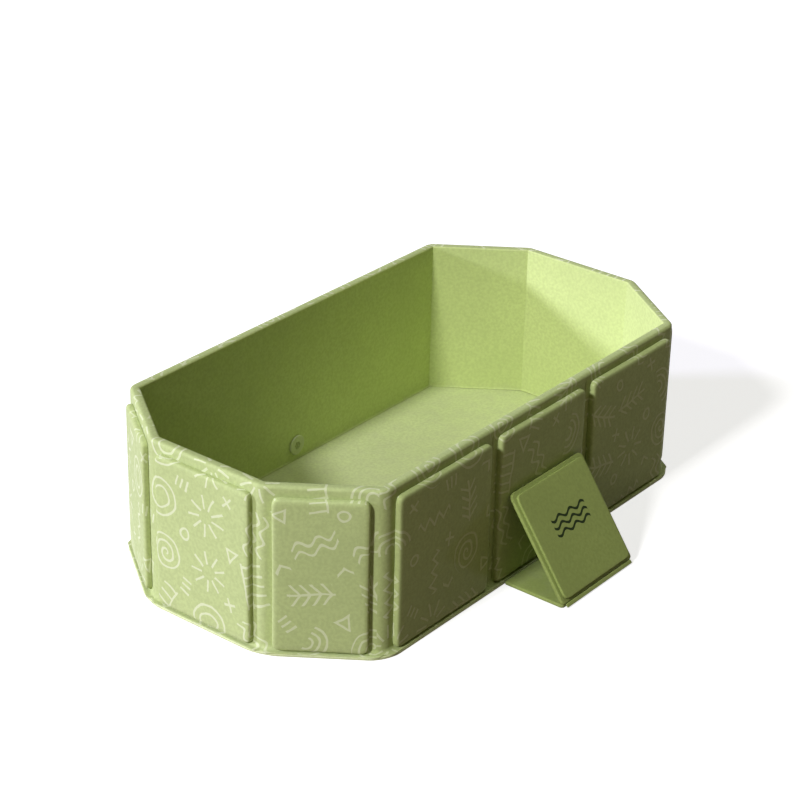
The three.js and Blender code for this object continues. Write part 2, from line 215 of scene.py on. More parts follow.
class Finishes(bpy.types.PropertyGroup):
    vinyl: colour("Vinyl", "Skin of the walls and cushions", (0.43, 0.51, 0.212))
    # The liner is the plain inner skin, painted paler than the vinyl: painted light that stands in
    # for the bounce light inside the tub.
    liner: colour("Liner", "Skin inside the tub", (0.51, 0.60, 0.235))
    floor: colour("Floor", "Skin of the floor", (0.62, 0.70, 0.36))
    flap: colour("Flap", "Skin of the cover flap", (0.335, 0.415, 0.125))
    ink: colour("Ink", "Printed lines", (0.62, 0.67, 0.42))
    mark: colour("Mark", "Dark mark on the cover", (0.02, 0.035, 0.008))
    foam: colour("Foam", "Boards inside the walls", (0.80, 0.79, 0.72))
    plastic: colour("Plastic", "Drain", (0.50, 0.56, 0.30))
    rubber: colour("Rubber", "Seal of the drain", (0.25, 0.27, 0.21))
    roughness: fraction("Roughness", "Of the vinyl", 0.46)
    grain: fraction("Grain", "Depth of the embossed grain", 0.45)
    line_width: length("Line width", "Of the printed lines", 0.0056)


class StageSettings(bpy.types.PropertyGroup):
    azimuth: angle("Azimuth", "Of the camera", -51.89)
    elevation: angle("Elevation", "Of the camera", 26.88)
    roll: angle("Roll", "Of the camera", 1.35)
    distance: length("Distance", "From the camera to what it aims at", 5.6)
    aim: FloatVectorProperty(
        name="Aim", description="What the camera aims at", default=(-0.032, 0.003, 0.306),
        subtype="XYZ")
    lens: amount("Lens", "Focal length in millimetres", 104.4)
    sun_azimuth: angle("Sun azimuth", "Side that the main light comes from", -92)
    sun_elevation: angle("Sun elevation", "Height of the main light", 34.5)
    sun_strength: amount("Sun strength", "Of the main light", 2.75)
    sun_softness: angle("Sun softness", "Size of the main light and the second one", 7)
    kicker_azimuth: angle("Kicker azimuth", "Side that the second light comes from", -135)
    kicker_elevation: angle("Kicker elevation", "Height of the second light", 18)
    kicker_strength: amount("Kicker strength", "Of the second light", 3.55)
    top_strength: amount("Top strength", "Of the soft light overhead", 0.45)
    fill: amount("Fill", "Strength of the light from all round", 0.065)


# ---- The walls' places ----

Wall = namedtuple("Wall", "body panels length turn matrix print_start")


def tub_walls():
    """Every wall with its own frame: X along it from the corner at its start, +Y inwards, +Z up."""
    sizes = bpy.context.scene.tub_walls
    side, end, width, reach = sizes.half_side, sizes.half_end, sizes.half_width, sizes.half_length
    corners = (
        (-side, -width), (side, -width), (reach, -end), (reach, end),
        (side, width), (-side, width), (-reach, end), (-reach, -end),
    )
    points = [Vector(corner) for corner in corners]
    spans = [points[(index + 1) % len(points)] - point for index, point in enumerate(points)]
    angles = [math.atan2(span.y, span.x) for span in spans]
    walls, print_start = [], 0
    for index, (body, panels) in enumerate(WALLS):
        turn = (angles[index] - angles[index - 1]) % math.tau
        place = Matrix.Translation((*points[index], 0)) @ Matrix.Rotation(angles[index], 4, "Z")
        print_start += turn * sizes.thickness
        walls.append(Wall(body, panels, spans[index].length, turn, place, print_start))
        print_start += spans[index].length
    return walls


def corner_trim(turn):
    """From a corner of the inner faces to the end of the wall."""
    sizes = bpy.context.scene.tub_walls
    return sizes.hinge_inset * math.tan(turn / 2) + sizes.hinge_gap


# ---- Mesh helpers ----


def rounded(corners, steps):
    """The points of an open line through (x, y, radius) corners, with an arc at each radius."""
    points = []
    for index, (x, y, radius) in enumerate(corners):
        here = Vector((x, y))
        if radius == 0:
            points.append(here)
            continue
        before = (Vector(corners[index - 1][:2]) - here).normalized()
        after = (Vector(corners[index + 1][:2]) - here).normalized()
        half = before.angle(after) / 2
        centre = here + (before + after).normalized() * radius / math.sin(half)
        start = here + before * radius / math.tan(half) - centre
        sweep = start.angle_signed(here + after * radius / math.tan(half) - centre)
        for step in range(steps + 1):
            turned = Matrix.Rotation(-sweep * step / steps, 2) @ start
            points.append(centre + turned)
    return points


def draw_out(bm, faces, way):
    """Extrudes faces by a vector, and returns what the extrusion made."""
    drawn = bmesh.ops.extrude_face_region(bm, geom=faces)["geom"]
    moved = [item for item in drawn if isinstance(item, bmesh.types.BMVert)]
    bmesh.ops.translate(bm, verts=moved, vec=way)
    return drawn


def cut_through(bm, place, normal, **settings):
    """Cuts the whole mesh by a plane, and returns the edges and points of the cut."""
    everything = bm.verts[:] + bm.edges[:] + bm.faces[:]
    return bmesh.ops.bisect_plane(
        bm, geom=everything, plane_co=place, plane_no=normal, **settings)["geom_cut"]


def round_edges(bm, edges, radius, segments):
    bmesh.ops.bevel(
        bm, geom=edges, offset=radius, affect="EDGES", segments=segments, profile=0.5, material=-1,
        offset_type="OFFSET")


def sweep_section(bm, section, stations):
    """A closed bar: a section of (y, z) points drawn out along X through the stations."""
    face = bm.faces.new([bm.verts.new((stations[0], y, z)) for y, z in section])
    bmesh.ops.reverse_faces(bm, faces=[face])
    for before, after in zip(stations, stations[1:]):
        drawn = draw_out(bm, [face], (after - before, 0, 0))
        if before > stations[0]:  # the first face closes the bar, the others would stand inside it
            bmesh.ops.delete(bm, geom=[face], context="FACES_ONLY")
        face = next(item for item in drawn if isinstance(item, bmesh.types.BMFace))
    bmesh.ops.recalc_face_normals(bm, faces=bm.faces)


def make_piece(name, bm):
    """A new piece from a bmesh, smooth except at its sharp edges."""
    mesh = bpy.data.meshes.new(name)
    for face in bm.faces:
        face.smooth = True
    bm.to_mesh(mesh)
    bm.free()
    mesh.set_sharp_from_angle(angle=SHARP_ANGLE)
    piece = bpy.data.objects.new(name, mesh)
    bpy.context.scene.collection.objects.link(piece)
    return piece


def settle(piece):
    """Applies the piece's modifiers."""
    graph = bpy.context.evaluated_depsgraph_get()
    mesh = bpy.data.meshes.new_from_object(piece.evaluated_get(graph))
    piece.modifiers.clear()
    piece.data = mesh


def subdivide(piece, levels):
    modifier = piece.modifiers.new("Subdivision", "SUBSURF")
    modifier.levels = levels
    modifier.render_levels = levels
    settle(piece)


def print_map(piece, start, face_y):
    """Lays the print flat over the face at face_y, in its wall's frame, and on round its edges."""
    layer = piece.data.uv_layers.new(name="print")
    normals = [Vector(normal.vector) for normal in piece.data.corner_normals]
    for loop, normal in zip(piece.data.loops, normals):
        place = piece.data.vertices[loop.vertex_index].co
        depth = place.y - face_y
        layer.data[loop.index].uv = (start + place.x + normal.x * depth, place.z + normal.z * depth)


def dress(piece, *finishes):
    """Gives a piece the materials that its faces' indices stand for."""
    for name in finishes:
        piece.data.materials.append(bpy.data.materials[name])


def finish_piece(piece, finishes, body, nodes=()):
    """Gives a placed piece its materials, its body and the nodes that it stands for."""
    dress(piece, *finishes)
    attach(piece, body)
    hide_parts(*nodes)


# ---- Shader helpers ----


class Nodes:
    """Adds nodes to a tree. An input may be a number, a colour or another node's output."""

    def __init__(self, tree):
        self.tree = tree

    def add(self, kind, inputs=None, **settings):
        node = self.tree.nodes.new(kind)
        for name, value in settings.items():
            setattr(node, name, value)
        for key, value in (inputs or {}).items():
            self.feed(node.inputs[key], value)
        return node

    def feed(self, socket, value):
        if isinstance(value, bpy.types.NodeSocket):
            self.tree.links.new(value, socket)
        else:
            socket.default_value = value

    def math(self, operation, *values):
        node = self.add("ShaderNodeMath", dict(enumerate(values)), operation=operation)
        return node.outputs[0]

    def plus(self, first, second):
        return self.math("ADD", first, second)

    def minus(self, first, second):
        return self.math("SUBTRACT", first, second)

    def times(self, first, second):
        return self.math("MULTIPLY", first, second)

    def size(self, value):
        return self.math("ABSOLUTE", value)

    def to_and_fro(self, value, run):
        """Rises from 0 to the run and falls back, over and over."""
        return self.math("PINGPONG", value, run)

    def smallest(self, *values):
        result = values[0]
        for value in values[1:]:
            result = self.math("MINIMUM", result, value)
        return result

    def largest(self, *values):
        result = values[0]
        for value in values[1:]:
            result = self.math("MAXIMUM", result, value)
        return result

    def distance(self, x, y):
        return self.math("SQRT", self.plus(self.times(x, x), self.times(y, y)))

    def vector(self, operation, *values):
        node = self.add("ShaderNodeVectorMath", dict(enumerate(values)), operation=operation)
        return node.outputs[0]

    def scaled(self, value, factor):
        node = self.add("ShaderNodeVectorMath", {0: value, "Scale": factor}, operation="SCALE")
        return node.outputs[0]

    def split(self, value):
        return self.add("ShaderNodeSeparateXYZ", {0: value}).outputs[:3]

    def ramp(self, value, low, high, to_low=0.0, to_high=1.0, smooth=True):
        ends = {"From Min": low, "From Max": high, "To Min": to_low, "To Max": to_high}
        kind = "SMOOTHSTEP" if smooth else "LINEAR"
        node = self.add("ShaderNodeMapRange", {"Value": value, **ends}, interpolation_type=kind)
        return node.outputs[0]

    def noise(self, place, scale, detail=2.0, roughness=0.5):
        return self.add(
            "ShaderNodeTexNoise",
            {"Vector": place, "Scale": scale, "Detail": detail, "Roughness": roughness})

    def dice(self, place):
        return self.add("ShaderNodeTexWhiteNoise", {"Vector": place}, noise_dimensions="3D")

    def mix(self, factor, first, second):
        node = self.add("ShaderNodeMix", {"Factor": factor}, data_type="RGBA", blend_type="MIX")
        self.feed(node.inputs[6], first)
        self.feed(node.inputs[7], second)
        return node.outputs[2]

    def group(self, name, inputs):
        node = self.add("ShaderNodeGroup", node_tree=bpy.data.node_groups[name])
        for key, value in inputs.items():
            self.feed(node.inputs[key], value)
        return node.outputs

    def eye_rays(self):
        """1 for what the camera sees, also in or through a surface, and 0 for light on its way."""
        path = self.add("ShaderNodeLightPath").outputs
        return self.largest(
            path["Is Camera Ray"], path["Is Glossy Ray"], path["Is Transmission Ray"])


def new_group(name, inputs, outputs):
    """A node group with its own ends: (its Nodes, its inputs by name, its output node's inputs)."""
    group = bpy.data.node_groups.new(name, "ShaderNodeTree")
    for title, kind, default in inputs:
        socket = group.interface.new_socket(title, in_out="INPUT", socket_type=kind)
        if default is not None:
            socket.default_value = default
    for title, kind in outputs:
        group.interface.new_socket(title, in_out="OUTPUT", socket_type=kind)
    n = Nodes(group)
    given = n.add("NodeGroupInput").outputs
    return n, given, n.add("NodeGroupOutput").inputs


# ---- The printed lines: each motif is the distance to the middle of its lines ----

PRINT_PITCH = 132  # from one motif to the next of its size
FAR = 500  # past every line
HALF_WAY = (0.5, 0.5, 0.5)

Spot = namedtuple("Spot", "x y across up radius")


def print_spot(n, place, shift, jitter, swing):
    """One motif's own place in a grid, measured from its middle, and a random number for it."""
    grid = n.vector("ADD", n.scaled(place, 1 / PRINT_PITCH), (shift, shift, 0))
    cell = n.vector("FLOOR", grid)
    inside = n.vector("SUBTRACT", n.vector("SUBTRACT", grid, cell), (0.5, 0.5, 0))
    dice = n.dice(n.vector("ADD", cell, (shift * 7, 3.1, 0))).outputs["Color"]
    stray = n.scaled(n.vector("SUBTRACT", dice, HALF_WAY), jitter)
    middle = n.vector("SUBTRACT", n.scaled(inside, PRINT_PITCH), stray)
    tilt = n.times(n.minus(n.split(dice)[2], 0.5), swing)
    turned = n.add(
        "ShaderNodeVectorRotate", {"Vector": middle, "Angle": tilt}, rotation_type="Z_AXIS")
    x, y, _ = n.split(turned.outputs[0])
    chance = n.dice(n.vector("ADD", cell, (5.7, shift * 3, 2))).outputs["Value"]
    return Spot(x, y, n.size(x), n.size(y), n.distance(x, y)), chance


def pick(n, chance, distances):
    """The distance to the one motif that the chance, from 0 to 1, falls on."""
    each = 1 / len(distances)
    gated = []
    for index, distance in enumerate(distances):
        off = n.size(n.minus(chance, each * (index + 0.5)))
        outside = n.math("GREATER_THAN", off, each / 2)
        gated.append(n.plus(distance, n.times(outside, FAR)))
    return n.smallest(*gated)


def swell(n, x, y, pitch, height):
    """How far a place lies above one sine wave."""
    return n.minus(y, n.times(n.math("SINE", n.times(x, math.tau / pitch)), height))


# Slant makes the distance straight up to a sloping line the distance across it.


def waves(n, spot, pitch=48, height=8, apart=11, slant=0.8, half_width=52):
    pair = n.size(n.minus(n.size(swell(n, spot.x, spot.y, pitch, height)), apart))
    return n.largest(n.times(pair, slant), n.minus(spot.across, half_width))


def burst(n, spot, bearing, rays=9, inner=22, outer=50):
    line = n.times(n.to_and_fro(bearing, math.pi / rays), spot.radius)
    return n.largest(line, n.minus(spot.radius, outer), n.minus(inner, spot.radius))


def zigzag(n, spot, run=17, steepness=1.3, middle=11, slant=0.61, half_width=55):
    line = n.minus(n.times(n.to_and_fro(spot.x, run), steepness), middle)
    off = n.size(n.minus(spot.y, line))
    return n.largest(n.times(off, slant), n.minus(spot.across, half_width))


def rings(n, spot, outer=45, inner=25):
    return n.smallest(n.size(n.minus(spot.radius, outer)), n.size(n.minus(spot.radius, inner)))


def comb(n, spot, drop=20, half_width=52, apart=12, prong=19, half_row=50):
    back = n.largest(n.size(n.plus(spot.y, drop)), n.minus(spot.across, half_width))
    prongs = n.largest(
        n.to_and_fro(spot.x, apart), n.minus(spot.up, prong), n.minus(spot.across, half_row))
    return n.smallest(back, prongs)


def sprig(n, spot, rise=0.8, apart=12, slant=0.78, spread=24, height=46, stem=52):
    line = n.to_and_fro(n.minus(spot.y, n.times(spot.across, rise)), apart)
    twigs = n.largest(
        n.times(line, slant), n.minus(spot.across, spread), n.minus(spot.up, height))
    return n.smallest(twigs, n.largest(spot.across, n.minus(spot.up, stem)))


def fan(n, spot, drop=24, apart=8, inner=12, outer=52):
    height = n.plus(spot.y, drop)
    reach = n.distance(spot.x, height)
    return n.largest(
        n.to_and_fro(reach, apart), n.times(height, -1), n.minus(reach, outer),
        n.minus(inner, reach))


def spiral(n, spot, bearing, apart=18, outer=46):
    coil = n.minus(spot.radius, n.times(bearing, apart / math.tau))
    return n.largest(n.to_and_fro(coil, apart / 2), n.minus(spot.radius, outer))


def ring(n, spot, size=12):
    return n.size(n.minus(spot.radius, size))


def plus(n, spot, arm=14):
    upright = n.largest(spot.across, n.minus(spot.up, arm))
    return n.smallest(upright, n.largest(spot.up, n.minus(spot.across, arm)))


def triangle(n, spot, size=10, across=0.866, up=0.5):
    side = n.plus(n.times(spot.across, across), n.times(spot.y, up))
    return n.size(n.minus(n.largest(side, n.times(spot.y, -1)), size))


def dashes(n, spot, apart=8, half_height=11, half_width=20):
    return n.largest(
        n.to_and_fro(spot.x, apart), n.minus(spot.up, half_height),
        n.minus(spot.across, half_width))


def chevron(n, spot, drop=6, slant=0.7, half_width=15):
    off = n.size(n.minus(spot.across, n.plus(spot.y, drop)))
    return n.largest(n.times(off, slant), n.minus(spot.across, half_width))


def line_print_group():
    """Printed lines: where they are, as a mask, over a surface laid out in metres."""
    n, given, output = new_group(
        "line_print",
        [("Vector", "NodeSocketVector", None), ("Line Width", "NodeSocketFloat", 5.6)],
        [("Mask", "NodeSocketFloat")])
    place = n.scaled(given["Vector"], 1000)
    shake = n.vector("SUBTRACT", n.noise(place, 0.016, detail=1).outputs["Color"], HALF_WAY)
    place = n.vector("ADD", place, n.scaled(shake, 16))
    place = n.vector("MULTIPLY", place, (1, 1, 0))

    spot, chance = print_spot(n, place, shift=0.31, jitter=14, swing=5.0)
    bearing = n.math("ARCTAN2", spot.y, spot.x)
    large = pick(n, chance, [
        waves(n, spot), burst(n, spot, bearing), zigzag(n, spot), rings(n, spot),
        comb(n, spot), sprig(n, spot), fan(n, spot), spiral(n, spot, bearing)])
    spot, chance = print_spot(n, place, shift=0.81, jitter=16, swing=6.2)
    small = pick(n, chance, [motif(n, spot) for motif in (ring, plus, triangle, dashes, chevron)])

    thinnest, thickest, soft = 0.42, 0.56, 0.6
    uneven = n.noise(place, 0.09, detail=2).outputs[0]
    half = n.times(given["Line Width"], n.ramp(uneven, 0.3, 0.7, thinnest, thickest))
    n.feed(output["Mask"], n.ramp(n.minus(n.smallest(large, small), half), -soft, soft, 1, 0))


def cover_mark(n, pitch=44, height=5, apart=9, half_line=3.4, half_width=66, half_height=22):
    """Three waves under each other, as a mask over the cover cushion's own layout in metres."""
    place = n.scaled(n.add("ShaderNodeUVMap", uv_map="print").outputs[0], 1000)
    x, y, _ = n.split(place)
    wave = swell(n, x, y, pitch, height)
    distance = n.largest(
        n.minus(n.to_and_fro(wave, apart), half_line), n.minus(n.size(x), half_width),
        n.minus(n.size(wave), half_height))
    return n.ramp(distance, -0.3, 0.3, 1, 0)


# ---- The finishes ----

INK_COVER = 0.72  # how much of the skin's colour the ink hides
DUST = (0.42, 0.40, 0.33, 1)
DUST_COVER = 0.12


def grain_group():
    """Embossed vinyl: a height, and a tone from 0 to 1 that varies with it."""
    n, given, output = new_group(
        "vinyl_grain",
        [("Vector", "NodeSocketVector", None), ("Pitch", "NodeSocketFloat", 0.0016)],
        [("Height", "NodeSocketFloat"), ("Tone", "NodeSocketFloat")])
    scale = n.math("DIVIDE", 1, given["Pitch"])
    pebbles = n.add(
        "ShaderNodeTexVoronoi", {"Vector": given["Vector"], "Scale": scale, "Smoothness": 0.6},
        feature="SMOOTH_F1")
    coarse = n.noise(given["Vector"], n.times(scale, 0.28), detail=3).outputs[0]
    n.feed(output["Height"], n.plus(n.times(pebbles.outputs["Distance"], -0.7), coarse))
    n.feed(output["Tone"], n.ramp(coarse, 0.3, 0.7))


def handling_group():
    """Slow changes of tone over a soft skin, and a little dust low down."""
    n, given, output = new_group(
        "handling",
        [("Vector", "NodeSocketVector", None), ("Dust Height", "NodeSocketFloat", 0.05)],
        [("Tone", "NodeSocketFloat"), ("Dust", "NodeSocketFloat")])
    clouds = n.noise(given["Vector"], 3.2, detail=4, roughness=0.6).outputs[0]
    n.feed(output["Tone"], n.ramp(clouds, 0.25, 0.75))
    low = n.ramp(n.split(given["Vector"])[2], 0, given["Dust Height"], 1, 0)
    patches = n.ramp(n.noise(given["Vector"], 24, detail=4).outputs[0], 0.35, 0.7)
    n.feed(output["Dust"], n.times(low, patches))


def new_material(name, grain_pitch, dust_height):
    """A material with the two groups that all finishes share, on the piece's own place."""
    material = bpy.data.materials.new(name)
    material.use_nodes = True
    n = Nodes(material.node_tree)
    place = n.add("ShaderNodeTexCoord").outputs["Object"]
    grain = n.group("vinyl_grain", {"Vector": place, "Pitch": grain_pitch})
    handling = n.group("handling", {"Vector": place, "Dust Height": dust_height})
    return material, n, material.node_tree.nodes["Principled BSDF"].inputs, grain, handling


def dyed(colour, factor):
    return (*(channel * factor for channel in colour), 1)


def emboss(n, shader, grain, strength, depth):
    bump = n.add(
        "ShaderNodeBump", {"Strength": strength, "Distance": depth, "Height": grain["Height"]})
    n.feed(shader["Normal"], bump.outputs[0])


def vinyl_material(name, colour, printed=False, marked=False):
    """Soft-touch vinyl: embossed grain, slow tone changes, and the printed lines or the mark."""
    look = bpy.context.scene.tub_finishes
    _, n, shader, grain, handling = new_material(name, grain_pitch=0.0021, dust_height=0.04)
    base = n.mix(handling["Tone"], dyed(colour, 0.95), dyed(colour, 1.05))
    base = n.mix(n.times(grain["Tone"], 0.55), base, dyed(colour, 0.80))
    if printed:
        spread = n.add("ShaderNodeUVMap", uv_map="print").outputs[0]
        lines = n.group("line_print", {"Vector": spread, "Line Width": look.line_width * 1000})
        base = n.mix(n.times(lines["Mask"], INK_COVER), base, (*look.ink, 1))
    if marked:
        base = n.mix(cover_mark(n), base, (*look.mark, 1))
    n.feed(shader["Base Color"], n.mix(n.times(handling["Dust"], DUST_COVER), base, DUST))
    rough = n.ramp(grain["Tone"], 0, 1, look.roughness - 0.04, look.roughness + 0.08, smooth=False)
    n.feed(shader["Roughness"], rough)
    emboss(n, shader, grain, look.grain, 0.0004)
    n.feed(shader["Specular IOR Level"], 0.03)
    n.feed(shader["Coat Weight"], 0.06)
    n.feed(shader["Coat Roughness"], 0.08)


def plain_material(name, colour, roughness, grain_depth, specks=0.0):
    """Foam, moulded plastic or rubber, with a fine grain of its own.

    The frame has materials of the same names, so this one is handed back and not looked up.
    """
    material, n, shader, grain, handling = new_material(name, grain_pitch=0.0011, dust_height=0.02)
    base = n.mix(handling["Tone"], dyed(colour, 0.94), dyed(colour, 1.04))
    base = n.mix(n.times(grain["Tone"], specks), base, dyed(colour, 0.7))
    n.feed(shader["Base Color"], base)
    n.feed(shader["Roughness"], n.ramp(handling["Tone"], 0, 1, roughness - 0.05, roughness + 0.05))
    emboss(n, shader, grain, grain_depth, 0.0003)
    return material


# ---- Operators ----


class TUB_OT_finishes(bpy.types.Operator):
    """Makes the materials and dresses the foam boards and the drain"""
    bl_idname = "tub.finishes"
    bl_label = "Finishes"

    def execute(self, context):
        look = context.scene.tub_finishes
        line_print_group()
        grain_group()
        handling_group()
        vinyl_material("printed_vinyl", look.vinyl, printed=True)
        # The liner's paler colour is painted light: it stands in for the bounce light inside the
        # tub.
        vinyl_material("liner_vinyl", look.liner)
        vinyl_material("floor_vinyl", look.floor)
        vinyl_material("flap_vinyl", look.flap)
        vinyl_material("marked_vinyl", look.flap, marked=True)
        foam = plain_material("foam_board", look.foam, 0.85, grain_depth=0.5, specks=0.3)
        plastic = plain_material("drain_plastic", look.plastic, 0.34, grain_depth=0.05)
        rubber = plain_material("seal_rubber", look.rubber, 0.7, grain_depth=0.2)
        for name, node in frame["nodes"].items():
            if name.endswith("_board"):
                self.redress(node, foam)
            elif name == "drain_gasket":
                self.redress(node, rubber)
            elif name.startswith("drain_"):
                self.redress(node, plastic)
        return {"FINISHED"}

    @staticmethod
    def redress(node, material):
        node.data.materials.clear()
        node.data.materials.append(material)


def wall_section(toe=0.001, crown_radius=0.03, foot_edge=0.0012):
    """The wall's section in its own frame: up the inner face, over the rim, down to the foot."""
    sizes = bpy.context.scene.tub_walls
    outer = -sizes.thickness
    edge = sizes.top - sizes.rim_crown
    fold_start = sizes.top - sizes.rim_depth
    foot_top = sizes.foot + sizes.foot_thickness
    foot_end = -sizes.reach - sizes.foot_reach
    return rounded([
        (sizes.cove + toe, sizes.foot, 0),
        (0, sizes.foot, sizes.cove),
        (0, edge, sizes.rim_inner_radius),
        (outer / 2, sizes.top, crown_radius),
        (outer, edge, sizes.rim_radius),
        (outer, fold_start, 0),
        (outer, fold_start - sizes.fold_run_out, 0),
        (outer, foot_top, sizes.foot_flare),
        (foot_end, foot_top, foot_edge),
        (foot_end, sizes.foot, 0),
    ], sizes.arc_steps)


def line_the_inside(piece):
    """The inner face and the underside take the plain liner, and all the rest the printed skin."""
    sizes = bpy.context.scene.tub_walls
    for face in piece.data.polygons:
        inside = face.center.y > -INNER_BAND
        low = face.center.z < sizes.foot + sizes.cove
        lined = inside and (face.normal.y > 0.5 or low)
        face.material_index = 1 if lined or face.normal.z < -0.9 else 0


class TUB_OT_wall_skins(bpy.types.Operator):
    """Makes the skin of each wall, with its rim, its foot and the folds between its panels"""
    bl_idname = "tub.wall_skins"
    bl_label = "Wall Skins"

    def execute(self, context):
        sizes = context.scene.tub_walls
        walls = tub_walls()
        for index, wall in enumerate(walls):
            pitch = wall.length / len(wall.panels)
            folds = [place * pitch for place in range(1, len(wall.panels))]
            stations = [corner_trim(wall.turn)]
            for fold in folds:
                across = (-1.5, -1, -0.35, 0, 0.35, 1, 1.5)
                stations += [fold + half * sizes.crease_width / 2 for half in across]
            stations.append(wall.length - corner_trim(walls[(index + 1) % len(walls)].turn))
            bm = bmesh.new()
            sweep_section(bm, wall_section(), stations)
            for fold in folds:
                self.press_fold(bm, fold, sizes)
            piece = make_piece(f"{wall.body}_skin", bm)
            print_map(piece, wall.print_start, -sizes.thickness)
            line_the_inside(piece)
            piece.data.transform(wall.matrix)
            nodes = [f"{panel}_sleeve" for panel in wall.panels]
            creases = [f"{panel}_crease" for panel in wall.panels]
            nodes += [crease for crease in creases if crease in frame["nodes"]]
            finish_piece(piece, SKINS, wall.body, nodes)
        return {"FINISHED"}

    @staticmethod
    def press_fold(bm, fold, sizes, inner_depth=0.0006, below=0.001):
        """A groove at a fold, under the rim: deep outside, and only just seen inside."""
        for vert in bm.verts:
            near = 1 - abs(vert.co.x - fold) / (sizes.crease_width / 2)
            if near <= 0 or vert.co.z > sizes.top - sizes.rim_depth - below:
                continue
            press = near * near * (3 - 2 * near)
            if vert.co.y < -sizes.thickness / 2:
                vert.co.y += sizes.crease_depth * press
            elif vert.co.y > -INNER_BAND:
                vert.co.y -= inner_depth * press


class TUB_OT_corner_skins(bpy.types.Operator):
    """Makes the skin that carries the walls round each corner, crisp inside and round outside"""
    bl_idname = "tub.corner_skins"
    bl_label = "Corner Skins"

    def execute(self, context):
        walls = tub_walls()
        for index, corner in enumerate(CORNERS):
            before, after = walls[index - 1], walls[index]
            name, node = f"{corner}_corner_skin", f"{corner}_column"
            if corner == OPEN_CORNER:
                turned = after.matrix @ Matrix.Rotation(-after.turn, 4, "Z")
                self.half_corner(name, after, (0, 0.5), before.body, turned, -1, [node])
                facing = f"{corner}_corner_facing"
                self.half_corner(facing, after, (0.5, 1), after.body, after.matrix, 1, [])
            else:
                self.whole_corner(name, before, after, node)
        return {"FINISHED"}

    def whole_corner(self, name, before, after, node):
        """A corner that bends round from one wall to the next."""
        piece = self.bent_strip(name, after, 0, 1)
        dress(piece, *SKINS)
        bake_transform(piece)
        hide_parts(node)

    def half_corner(self, name, wall, shares, body, place, side, nodes):
        """Half of the corner that opens: it gathers against its wall's end as the walls fold."""
        piece = self.bent_strip(name, wall, *shares)
        finish_piece(piece, SKINS, body, nodes)
        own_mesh(piece)

    def bent_strip(self, name, wall, first, last):
        """A straight strip of the wall's section, laid out for the print, then bent round."""
        sizes = bpy.context.scene.tub_walls
        trim = corner_trim(wall.turn)
        bend = sizes.thickness * wall.turn
        steps = sizes.bend_steps
        places = [step / steps for step in range(steps + 1) if first <= step / steps <= last]
        stations = [(bend + 2 * trim) * place - trim for place in places]
        bm = bmesh.new()
        sweep_section(bm, wall_section(), stations)
        piece = make_piece(name, bm)
        print_map(piece, wall.print_start - bend, -sizes.thickness)
        line_the_inside(piece)
        for vert in piece.data.vertices:
            vert.co = bend_round(vert.co, wall.turn, trim, bend)
        piece.data.set_sharp_from_angle(angle=SHARP_ANGLE)
        piece.data.transform(wall.matrix)
        return piece


def bend_round(place, turn, trim, bend):
    """Moves a point of a straight strip round the corner where a wall starts, in its frame."""
    sizes = bpy.context.scene.tub_walls
    x, y, z = place
    share = (x + trim) / (bend + 2 * trim)
    if y < -sizes.thickness:  # the foot draws in round the corner
        y += (-sizes.thickness - y) * sizes.foot_tuck * math.sin(math.pi * share) ** 2
    if y < -ROUND_FROM:  # the outside is an arc that leaves both walls smoothly
        centre = Vector((trim, trim / math.tan(turn / 2), z))
        turned = Matrix.Rotation(-turn * (1 - share), 3, "Z") @ Vector((0, y - centre.y, 0))
        return centre + turned
    mitre = y * math.tan(turn / 2)
    run = mitre + (trim - mitre) * abs(2 * share - 1)
    if share >= 0.5:
        return Vector((run, y, z))
    return Matrix.Rotation(-turn, 3, "Z") @ Vector((-run, y, z))


def cushion_mesh(width, height, thickness, corner, edge, crown, pull, back_edge=0.0012):
    """The cage of a cushion: middle at x = 0, back at y = 0, its face towards -Y, foot at z = 0."""
    bm = bmesh.new()
    bmesh.ops.create_cube(bm, size=1)
    bmesh.ops.scale(bm, verts=bm.verts, vec=(width, thickness, height))
    bmesh.ops.translate(bm, verts=bm.verts, vec=(0, -thickness / 2, height / 2))
    cuts = [((share * width / 2, 0, 0), (1, 0, 0)) for share in (-0.45, 0, 0.45)]
    cuts += [((0, 0, height * share), (0, 0, 1)) for share in (0.275, 0.5, 0.725)]
    cuts += [((side * (width / 2 - corner), 0, 0), (1, 0, 0)) for side in (-1, 1)]
    cuts += [((0, 0, place), (0, 0, 1)) for place in (corner, height - corner)]
    for place, normal in cuts:
        cut_through(bm, place, normal)
    face = [item for item in bm.faces if item.normal.y < -0.9]
    bmesh.ops.inset_region(bm, faces=face, thickness=edge, use_even_offset=True)
    for place in (-thickness + edge, -back_edge):
        cut_through(bm, (0, place, 0), (0, 1, 0))
    for vert in bm.verts:
        across, up = vert.co.x / (width / 2), vert.co.z / (height / 2) - 1
        if vert.co.y < -thickness * 0.98:  # the face crowns
            bulge = (1 - across ** 2) * (1 - up ** 2)
            vert.co.y += crown * (1 - math.sqrt(max(0, bulge)))
        if abs(across) > 0.999:  # the sides draw in, and so do the head and the foot
            vert.co.x -= math.copysign(pull * (1 - up ** 2), across)
        if abs(up) > 0.999:
            vert.co.z -= math.copysign(pull * (1 - across ** 2), up)
    return bm


def cut_well(piece, place, radius, flare=1.06, depth=0.06, segments=48):
    """Cuts a round opening through a cushion in its wall's frame, a little wider outside."""
    bm = bmesh.new()
    bmesh.ops.create_cone(
        bm, cap_ends=True, segments=segments, radius1=radius, radius2=radius * flare, depth=depth)
    cutter = make_piece("well_cutter", bm)
    cutter.data.transform(Matrix.Translation(place) @ Matrix.Rotation(math.radians(90), 4, "X"))
    modifier = piece.modifiers.new("Well", "BOOLEAN")
    modifier.operation, modifier.solver, modifier.object = "DIFFERENCE", "EXACT", cutter
    settle(piece)
    bpy.data.objects.remove(cutter)
    piece.data.set_sharp_from_angle(angle=SHARP_ANGLE)


